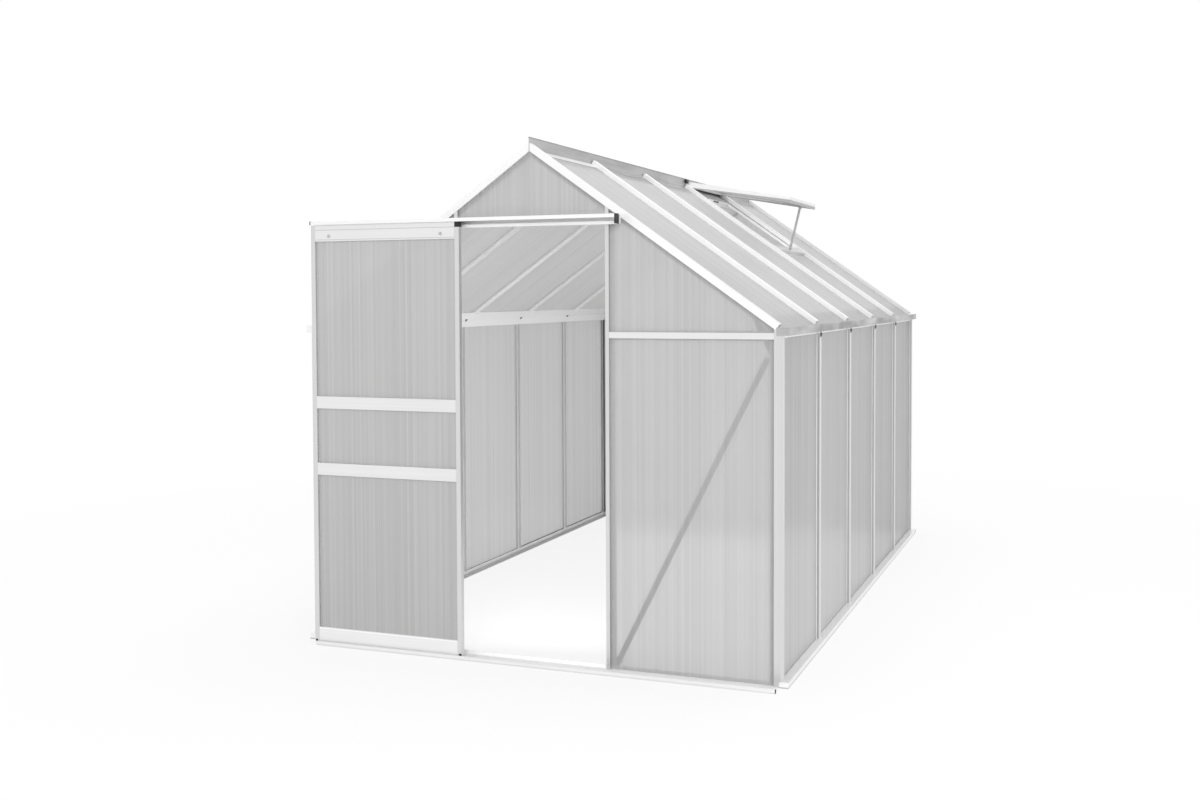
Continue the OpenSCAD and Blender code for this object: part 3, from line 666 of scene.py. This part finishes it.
class Shapes:
    """Verts and faces of many small shapes that become one piece."""

    def __init__(self):
        self.verts, self.faces = [], []

    def add(self, verts, faces, place=Matrix()):
        start = len(self.verts)
        self.verts += [place @ Vector(v) for v in verts]
        self.faces += [[start + i for i in face] for face in faces]

    def slab(self, low, high, place=Matrix(), edge=0.0004):
        """Box from low to high with rounded edges."""
        bm = bmesh.new()
        bmesh.ops.create_cube(bm, size=1)
        for v in bm.verts:
            v.co = [a + (c + 0.5) * (b - a) for a, b, c in zip(low, high, v.co)]
        bmesh.ops.bevel(bm, geom=bm.edges[:], offset=edge, segments=2, affect="EDGES", profile=0.5)
        bm.verts.index_update()
        self.add([v.co for v in bm.verts], [[v.index for v in f.verts] for f in bm.faces], place)
        bm.free()

    def turned(self, profile, at, axis, sides=14):
        """Profile of (radius, height) pairs turned round axis from the point at."""
        place = upright(at, axis)
        verts = [(r * math.cos(k * math.tau / sides), r * math.sin(k * math.tau / sides), h)
                 for r, h in profile for k in range(sides)]
        faces = [(j * sides + k, j * sides + (k + 1) % sides,
                  (j + 1) * sides + (k + 1) % sides, (j + 1) * sides + k)
                 for j in range(len(profile) - 1) for k in range(sides)]
        faces += [tuple(range(sides)), tuple(range(len(verts) - sides, len(verts)))]
        self.add(verts, faces, place)

    def nut(self, at, axis):
        """Washer, six-sided nut and the bolt's end."""
        self.turned(((0.0085, 0), (0.0085, 0.001), (0.006, 0.0014)), at, axis)
        self.turned(((0.0062, 0.0012), (0.0062, 0.0050), (0.0054, 0.0058)), at, axis, sides=6)
        self.turned(((0.0030, 0.0050), (0.0030, 0.0082), (0.0024, 0.0088)), at, axis)

    def screw(self, at, axis):
        """Pan head on a thin washer."""
        self.turned(((0.0070, 0), (0.0070, 0.0008), (0.0048, 0.0010), (0.0048, 0.0022),
                     (0.0038, 0.0034), (0.0016, 0.0040)), at, axis)

    def ring(self, at, axis, radius, wire, sides=20, round_sides=8):
        """Wire ring about axis."""
        place = upright(at, axis)
        verts, faces = [], []
        for k in range(sides):
            a = k * math.tau / sides
            for j in range(round_sides):
                b = j * math.tau / round_sides
                r = radius + wire * math.cos(b)
                verts.append((r * math.cos(a), r * math.sin(a), wire * math.sin(b)))
                faces.append((k * round_sides + j, k * round_sides + (j + 1) % round_sides,
                              (k + 1) % sides * round_sides + (j + 1) % round_sides,
                              (k + 1) % sides * round_sides + j))
        self.add(verts, faces, place)

    def make(self, name, material, body="house"):
        return piece(name, self.verts, self.faces, material, body)


SIDES = {"left": -1, "right": 1}
ENDS = {"front": (FRONT_Y, 1), "rear": (REAR_Y, -1)}
SHEET_X = float(SHEET_HIGH[0])                 # outer face of the side sheets
BEAM_X = SHEET_X - LIP - 0.016                 # inner face of the eave beams
BEAM_Z = float(box_of("gutter_right")[0][2])
SHEET_TOP = float(SHEET_HIGH[2])
BASE_H = float(box_of("base_right")[1][2])
POST_X = WALL_X - 0.030                        # inner edge of the corner posts' faces
POST_TOP = BEAM_Z - 0.006                      # top of the strips on the corner posts
BAR_HALF = 0.015
CORE = 0.024                                   # depth of the corner posts' cores
OFF_BAR = 0.024                                # clear of a bar's core, from its middle


def bar_y(i):
    """The middle of a bar, from 0 at the front gable's face."""
    return FRONT_Y + i * BAY


def span_x(side, a, b):
    """The x interval between a and b on one side of the house, in rising order."""
    return sorted((side * a, side * b))


def eave_bolts():
    """A nut on the eave beam at every wall bar, inside."""
    up = 0.034
    for label, side in SIDES.items():
        nuts = Shapes()
        for i in range(1, BAYS):
            nuts.nut((side * BEAM_X, bar_y(i), BEAM_Z + up), (-side, 0, 0))
        nuts.make("eave_bolts_" + label, dark_steel)


def ridge_bolts():
    """Nuts under the ridge plates, one on each side of every roof bar."""
    down, under = 0.045, 0.0242
    x = down * math.cos(PITCH) - under * math.sin(PITCH)
    z = APEX_Z - down * math.sin(PITCH) - under * math.cos(PITCH)
    for label, side in SIDES.items():
        nuts = Shapes()
        inward = (-side * math.sin(PITCH), 0, -math.cos(PITCH))
        for i in range(1, BAYS):
            nuts.nut((side * x, bar_y(i) - OFF_BAR, z), inward)
            nuts.nut((side * x, bar_y(i) + OFF_BAR, z), inward)
        nuts.make("ridge_bolts_" + label, dark_steel)


def gable_bolts():
    """Nuts on the gussets and at the ends of the braces, inside both gables."""
    behind = 0.0201                            # from a gable's outer face in to the washers
    end_in = 0.022                             # from the end of a strap to its bolt
    brace_foot_x = 0.331
    brace_low, brace_high = box_of("braces")
    gusset_x, _, gusset_top = box_of("gussets")[1]
    spots = [(gusset_x - 0.010, BEAM_Z - 0.036), (gusset_x - 0.012, BEAM_Z - 0.008),
             (gusset_x - 0.058, gusset_top - end_in),
             (POST_X - 0.032, brace_high[2] - end_in), (brace_foot_x, brace_low[2] + end_in)]
    for end, (y, inward) in ENDS.items():
        nuts = Shapes()
        for side in SIDES.values():
            for x, z in spots:
                nuts.nut((side * x, y + inward * behind, z), (0, inward, 0))
        nuts.make("gable_bolts_" + end, dark_steel)


def corner_seals():
    """Black sealing strips up the inside of each corner."""
    wide = 0.0035
    seals = Shapes()
    for side in SIDES.values():
        for y, inward in ENDS.values():
            x0, x1 = span_x(side, WALL_X - CORE - wide, WALL_X - CORE)
            y0, y1 = sorted((y + inward * CORE, y + inward * (CORE + wide)))
            seals.slab((x0, y0, BASE_H), (x1, y1, BEAM_Z))
    seals.make("corner_seals", rubber)


def front_gaskets():
    """Fine black gaskets up the front of the front corners, beside the posts' faces."""
    wide, foot = 0.0010, 0.004
    near, far = FRONT_Y + 0.005, FRONT_Y + 0.0119
    gaskets = Shapes()
    for side in SIDES.values():
        x0, x1 = span_x(side, POST_X - wide, POST_X)
        gaskets.slab((x0, near, foot), (x1, far, POST_TOP))
    gaskets.make("front_gaskets", rubber)


def post_lips():
    """Inner lips of the front corner posts, close behind the gable sheets. Their faces toward the sheets
    take the strap's near-black tone, which is painted shade.
    """
    showing, covered = 0.015, 0.004
    near, far = FRONT_Y + 0.0163, FRONT_Y + 0.0177
    lips = Shapes()
    for side in SIDES.values():
        x0, x1 = span_x(side, POST_X - showing, POST_X + covered)
        lips.slab((x0, near, SILL_HIGH[2]), (x1, far, POST_TOP))
    lips.make("post_lips", strap)


def eave_beads():
    """Bright beads along the inner faces of the eave beams, where they meet the sloping plates."""
    wide, high, gap, from_gable = 0.0014, 0.0045, 0.0005, 0.022
    for label, side in SIDES.items():
        corners = [v.co for v in nodes["gutter_" + label].data.vertices]
        top = max(c.z for c in corners if abs(abs(c.x) - BEAM_X) < EDGE)
        x0, x1 = span_x(side, BEAM_X - wide, BEAM_X)
        beads = Shapes()
        beads.slab((x0, FRONT_Y + from_gable, top - high), (x1, REAR_Y - from_gable, top - gap))
        beads.make("eave_beads_" + label, bead_white)


def foot_seals():
    """Black seals between the side bases and the sheets, inside, thicker in the rear bays."""
    gap, thin, thick, rear_from = 0.0002, 0.002, 0.004, 3
    for label, side in SIDES.items():
        seals = Shapes()
        x0, x1 = span_x(side, SHEET_X - LIP + gap, SHEET_X - SHEET_T)
        for i in range(BAYS):
            top = BASE_H + (thick if i >= rear_from else thin)
            seals.slab((x0, bar_y(i) + OFF_BAR, BASE_H), (x1, bar_y(i + 1) - OFF_BAR, top))
        seals.make("foot_seals_" + label, rubber)


def sheet_beads():
    """Bright glazing beads along the top and the sides of every side sheet."""
    wide, deep = 0.003, 0.0024
    for label, side in SIDES.items():
        beads = Shapes()
        x0, x1 = span_x(side, SHEET_X, SHEET_X + deep)
        for i in range(BAYS):
            y0 = bar_y(i) + (BAR_HALF if i else 2 * BAR_HALF)
            y1 = bar_y(i + 1) - (BAR_HALF if i < BAYS - 1 else 2 * BAR_HALF)
            beads.slab((x0, y0, SHEET_TOP - wide), (x1, y1, SHEET_TOP))
            for a, b in ((y0, y0 + wide), (y1 - wide, y1)):
                beads.slab((x0, a, BASE_H), (x1, b, SHEET_TOP - wide))
        beads.make("sheet_beads_" + label, bead_white)


def bar_clips():
    """Dark clips that hold the gutters to the wall bars, each with a screw in its middle."""
    half, tall, thick = 0.007, 0.020, 0.0022
    for label, side in SIDES.items():
        clips = Shapes()
        x0, x1 = span_x(side, WALL_X, WALL_X + thick)
        for i in range(1, BAYS):
            clips.slab((x0, bar_y(i) - half, SHEET_TOP - tall), (x1, bar_y(i) + half, SHEET_TOP))
            clips.screw((side * (WALL_X + thick), bar_y(i), SHEET_TOP - tall / 2), (side, 0, 0))
        clips.make("gutter_clips_" + label, dark_steel)


def door_fittings():
    """Two screws in the face of the door's top rail, and two black guides at its foot."""
    screw_in, screw_down = (0.077, 0.075), 0.047
    guide_in, guide_z = (0.006, 0.007), 0.0165
    front = float(DOOR_LOW[1])
    left, right = float(DOOR_LOW[0]), float(DOOR_HIGH[0])
    screws = Shapes()
    for x in (left + screw_in[0], right - screw_in[1]):
        screws.screw((x, front, DOOR_TOP - screw_down), (0, -1, 0))
    screws.make("door_screws", steel, "door")
    guides = Shapes()
    for x in (left + guide_in[0], right - guide_in[1]):
        guides.turned(((0.0045, 0), (0.0045, 0.0012), (0.0035, 0.0020)), (x, front, guide_z), (0, -1, 0))
    guides.make("door_guides", black, "door")


def track_cap():
    """Black cap on the right end of the floor track."""
    thick, deep, foot, top = 0.0016, 0.012, 0.0002, 0.014
    end = max(float(SILL_HIGH[0]), POST_X)
    front = float(SILL_LOW[1])
    cap = Shapes()
    cap.slab((end, front, foot), (end + thick, front + deep, top))
    cap.make("track_cap", rubber)


def vent_ridge_shadow_strip():
    """Black strip along the ridge, under the vent's upper edge: painted shadow, for the ridge web's shade
    seen through the vent's opening.
    """
    off_web, thick, from_end = 0.0015, 0.005, 0.02
    low, high = box_of("vent_frame")
    strip = Shapes()
    strip.slab((off_web, low[1] + from_end, APEX_Z - 0.024),
               (off_web + thick, high[1], APEX_Z - 0.015))
    strip.make("vent_ridge_shadow_strip", rubber)


def vent_hinge_pins():
    """A pin through each hinge block of the vent."""
    x, before_bar, up = 0.0125, 0.017, 0.010
    profile = ((0.002, 0), (0.0026, 0.0004), (0.0026, 0.034), (0.002, 0.0345))
    pins = Shapes()
    for i in (VENT_BAY, VENT_BAY + 1):
        pins.turned(profile, (x, bar_y(i) - before_bar, APEX_Z + up), (0, 1, 0))
    pins.make("vent_hinge_pins", dark_steel)


def vent_stay_eye():
    """Ring at the head of the vent's stay, and the pin at its foot."""
    head_in, head_down, foot_in, foot_up = 0.007, 0.008, 0.006, 0.012
    radius, wire, pin_half = 0.0075, 0.0018, 0.011
    profile = ((0.003, 0), (0.0036, 0.0006), (0.0036, 0.0214), (0.003, 0.022))
    low, high = box_of("vent_stay")
    mid = (low[1] + high[1]) / 2
    eye = Shapes()
    eye.ring((high[0] - head_in, mid, high[2] - head_down), (0, 1, 0), radius, wire)
    eye.turned(profile, (low[0] + foot_in, mid - pin_half, low[2] + foot_up), (0, 1, 0))
    eye.make("vent_stay_eye", steel)


eave_bolts()
ridge_bolts()
gable_bolts()
corner_seals()
front_gaskets()
post_lips()
eave_beads()
foot_seals()
sheet_beads()
bar_clips()
door_fittings()
track_cap()
vent_ridge_shadow_strip()
vent_hinge_pins()
vent_stay_eye()


# ---- Stage, light and camera ----

def stage_floor():
    """A pale floor that fades to white away from the house, for all but the light that falls on it."""
    half, under = 40.0, -0.0006
    t = Tree("floor")
    cloud = t.noise(t.coords(), scale=0.8, detail=3)
    d = t.node("ShaderNodeBsdfDiffuse")
    t.put(d.inputs["Color"], t.tint(cloud, grey(0.86), grey(0.88)))
    e = t.node("ShaderNodeEmission")
    e.inputs["Strength"].default_value = 1.0
    path = t.node("ShaderNodeLightPath")
    seen = t.math("MAXIMUM", path.outputs["Is Camera Ray"],
                  t.math("MAXIMUM", path.outputs["Is Glossy Ray"], path.outputs["Is Transmission Ray"]))
    length = t.node("ShaderNodeVectorMath", operation="LENGTH")
    t.link(t.coords(), length.inputs[0])
    white = t.span(length.outputs["Value"], 0.8, 1.0, 2.4, 4.5)
    material = t.finish(t.mix(t.math("MULTIPLY", seen, white), d.outputs[0], e.outputs[0]))
    corners = [(x * half, y * half, under) for x, y in ((-1, -1), (1, -1), (1, 1), (-1, 1))]
    mesh = bpy.data.meshes.new("floor")
    mesh.from_pydata(corners, [], [(0, 1, 2, 3)])
    floor = bpy.data.objects.new("floor", mesh)
    bpy.context.scene.collection.objects.link(floor)
    paint(floor, material)


def world_light(strength):
    """White where the camera, a reflection or a refraction sees it, and light of strength elsewhere."""
    world = bpy.data.worlds.new("studio")
    bpy.context.scene.world = world
    world.use_nodes = True
    nt = world.node_tree
    nt.nodes.clear()
    out = nt.nodes.new("ShaderNodeOutputWorld")
    seen, lit = nt.nodes.new("ShaderNodeBackground"), nt.nodes.new("ShaderNodeBackground")
    for shader, level in ((seen, 1.0), (lit, strength)):
        shader.inputs["Color"].default_value = (1, 1, 1, 1)
        shader.inputs["Strength"].default_value = level
    path, mix = nt.nodes.new("ShaderNodeLightPath"), nt.nodes.new("ShaderNodeMixShader")
    most, more = nt.nodes.new("ShaderNodeMath"), nt.nodes.new("ShaderNodeMath")
    most.operation = more.operation = "MAXIMUM"
    nt.links.new(path.outputs["Is Camera Ray"], most.inputs[0])
    nt.links.new(more.outputs[0], most.inputs[1])
    nt.links.new(path.outputs["Is Glossy Ray"], more.inputs[0])
    nt.links.new(path.outputs["Is Transmission Ray"], more.inputs[1])
    nt.links.new(most.outputs[0], mix.inputs[0])
    nt.links.new(lit.outputs[0], mix.inputs[1])
    nt.links.new(seen.outputs[0], mix.inputs[2])
    nt.links.new(mix.outputs[0], out.inputs[0])


def softbox(name, at, aim, size, power):
    """Square lamp that shines from at to aim, and isn't itself seen, mirrored or seen through a sheet."""
    lamp = bpy.data.lights.new(name, "AREA")
    lamp.shape = "SQUARE"
    lamp.size = size
    lamp.energy = power
    obj = bpy.data.objects.new(name, lamp)
    obj.location = at
    obj.rotation_euler = (Vector(aim) - Vector(at)).to_track_quat("-Z", "Y").to_euler()
    obj.visible_camera = obj.visible_glossy = obj.visible_transmission = False
    bpy.context.scene.collection.objects.link(obj)


def camera():
    """The photograph's viewpoint: place, heading, pitch and roll. Focal length and centre are in pixels."""
    wide, tall, sensor = 1200, 800, 36
    focal, centre = 1326.32, (589.11, 344.79)
    place = Vector((1.9231, -5.8471, 1.3174))
    yaw, dip, roll = -0.3742, -0.0372, -0.0043
    ahead = Vector((math.sin(yaw) * math.cos(dip), math.cos(yaw) * math.cos(dip), math.sin(dip)))
    right = Vector((math.cos(yaw), -math.sin(yaw), 0))
    up = right.cross(ahead)
    c, s = math.cos(roll), math.sin(roll)
    right, up = c * right + s * up, c * up - s * right
    data = bpy.data.cameras.new("camera")
    data.sensor_width = sensor
    data.lens = focal / wide * sensor
    data.shift_x = (wide / 2 - centre[0]) / wide
    data.shift_y = (centre[1] - tall / 2) / wide
    data.clip_start, data.clip_end = 0.05, 200
    obj = bpy.data.objects.new("camera", data)
    rows = [(right[i], up[i], -ahead[i], place[i]) for i in range(3)]
    obj.matrix_world = Matrix(rows + [(0, 0, 0, 1)])
    bpy.context.scene.collection.objects.link(obj)
    bpy.context.scene.camera = obj


# Place, aim, size and power. The fills stand inside the house and lift it to the photograph's tones.
LAMPS = {
    "key": ((2.5, -7.5, 3.0), (-0.5, 1.0, 1.0), 4.0, 220),
    "top": ((0.5, 0.5, 6.5), (0, 0, 1.5), 5.0, 180),
    "doorway_fill": ((0.0, -1.42, 0.6), (-0.6, 1.2, 0.7), 0.5, 8),
    "inside_fill": ((0.5, 0.6, 0.3), (-0.6, 0.7, 1.1), 0.9, 4),
    "vent_fill": ((0.35, 0.64, 1.40), (-0.05, 0.64, 1.80), 0.3, 0.9),
}

stage_floor()
world_light(0.74)
for name, lamp in LAMPS.items():
    softbox(name, *lamp)
camera()
bpy.context.scene.view_settings.view_transform = "Standard"
